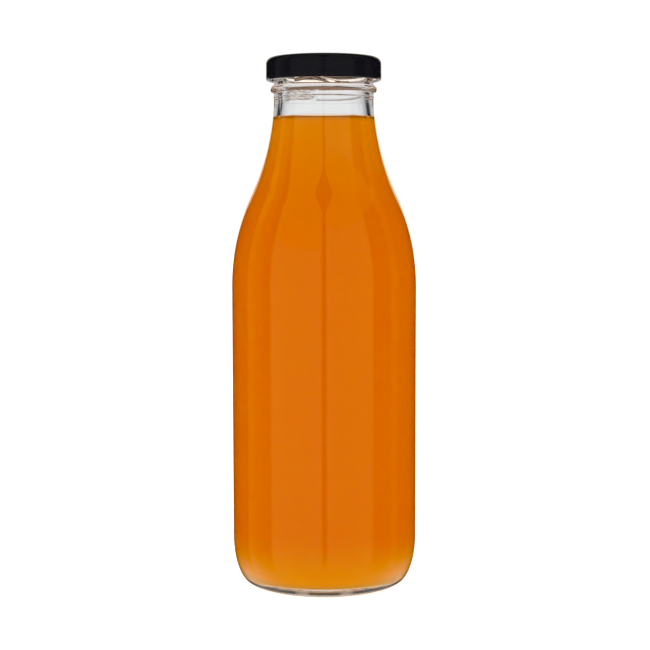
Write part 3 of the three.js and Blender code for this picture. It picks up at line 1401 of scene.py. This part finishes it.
    def _mirrored_light(self, nodes: Nodes, turn: Socket, elevation: Socket) -> Socket:
        """Joins everything that polished glass mirrors.

        Args:
            nodes: The world's nodes.
            turn: The bearing in radians.
            elevation: The elevation in radians.

        Returns:
            The mirrored colour.
        """
        off_middle = nodes.math("ABSOLUTE", turn)
        start = nodes.remap(elevation, *self.behind_from, *self.behind, smooth=False)
        behind = nodes.remap(nodes.math("SUBTRACT", off_middle, start), 0.0, self.behind_edge)
        return nodes.layered(rgba(BLACK), (
            (self._gap(nodes, off_middle, elevation), self._walls(nodes, turn, elevation)),
            (behind, rgba(self.behind_light)),
            (nodes.remap(elevation, *self.floor_from), self._floor_light(nodes, off_middle, elevation)),
        ))

    def light(self) -> None:
        """Makes the studio's light as a soft surround that depends on direction alone."""
        world = bpy.data.worlds.new("studio_light")
        world.use_nodes = True
        bpy.context.scene.world = world
        nodes = Nodes(world.node_tree)
        x, y, z = nodes.split(nodes.where("Generated"))
        turn = nodes.math("ARCTAN2", x, nodes.math("MULTIPLY", y, -1.0))
        elevation = nodes.math("ARCSINE", z)
        through = self._band_light(nodes, turn, self._seen_through(), (self.backdrop,) * 3)
        through = nodes.mix(nodes.remap(elevation, *self.overhead_from), through, grey(self.overhead))
        path = nodes.place("ShaderNodeLightPath").outputs
        colour = nodes.layered(grey(self.dome), (
            (path["Is Glossy Ray"], self._mirrored_light(nodes, turn, elevation)),
            (path["Is Transmission Ray"], through),
            (path["Is Camera Ray"], grey(self.white)),
        ))
        nodes.feed(world.node_tree.nodes["Background"].inputs["Color"], colour)

    def floor(self) -> bpy.types.Object:
        """Makes the floor, which is no part of the object.

        Returns:
            The floor, hidden from mirror rays so that the surround shows in the glass.
        """
        cells = range(self.floor_cells)
        row = self.floor_cells + 1
        side = np.linspace(-self.floor_half, self.floor_half, row)
        points = np.array([(x, y, 0.0) for y in side for x in side])
        corners = [r * row + c for r in cells for c in cells]
        floor = new_object("studio_floor", points, [(i, i + 1, i + 1 + row, i + row) for i in corners])
        floor.location.z = -self.floor_sunk
        floor.visible_glossy = False
        floor.data.materials.append(PaleFloor().build())
        return floor

    def camera(self) -> bpy.types.Object:
        """Makes the camera at the photograph's viewing angle.

        Returns:
            The camera, set as the scene's own.
        """
        data = bpy.data.cameras.new("front_camera")
        data.lens, data.sensor_width = self.lens, self.sensor
        data.clip_start, data.clip_end = self.clip
        camera = bpy.data.objects.new("front_camera", data)
        camera.location = (self.aside, -self.distance, self.eye_level)
        look = Euler((math.pi / 2 - self.pitch, 0.0, 0.0)).to_quaternion()
        roll = Euler((0.0, 0.0, self.roll)).to_quaternion()
        camera.rotation_mode = "QUATERNION"
        camera.rotation_quaternion = look @ roll
        bpy.context.scene.collection.objects.link(camera)
        bpy.context.scene.camera = camera
        return camera

    def tone(self) -> None:
        """Sets a plain display with the photograph's firm blacks."""
        view = bpy.context.scene.view_settings
        view.view_transform = "Standard"
        view.look = "None"
        view.use_curve_mapping = True
        view.curve_mapping.black_level = (self.black_level,) * 3
        view.curve_mapping.update()

    def paths(self) -> None:
        """Lets light pass through and bounce inside the glass as often as it needs to."""
        cycles = bpy.context.scene.cycles
        cycles.max_bounces = 24
        cycles.glossy_bounces = 16
        cycles.transmission_bounces = 24
        cycles.transparent_max_bounces = 16

    def build(self) -> None:
        """Makes light, floor, camera and display."""
        self.paths()
        self.light()
        self.floor()
        self.camera()
        self.tone()


def settle(piece: bpy.types.Object, node: str) -> None:
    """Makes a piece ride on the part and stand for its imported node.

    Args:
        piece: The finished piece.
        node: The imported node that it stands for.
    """
    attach(piece, "root")
    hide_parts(node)
    size = piece.dimensions * 1000
    LOG.info("%s: %d faces, %.1f x %.1f x %.1f mm", piece.name, len(piece.data.polygons), *size)


def main() -> None:
    """Builds the studio, then the bottle, the drink and the lid."""
    Studio().build()
    shape = BottleShape.from_frame()
    settle(GlassBottle(shape, ClearGlass()).build(), "bottle")
    for piece in Drink(shape, OrangeDrink(), DrinkFilm()).build():
        settle(piece, "drink")
    settle(TwistLid(Lacquer(), Lining(), RollLacquer()).build(), "lid")


if __name__ == "__main__":
    main()
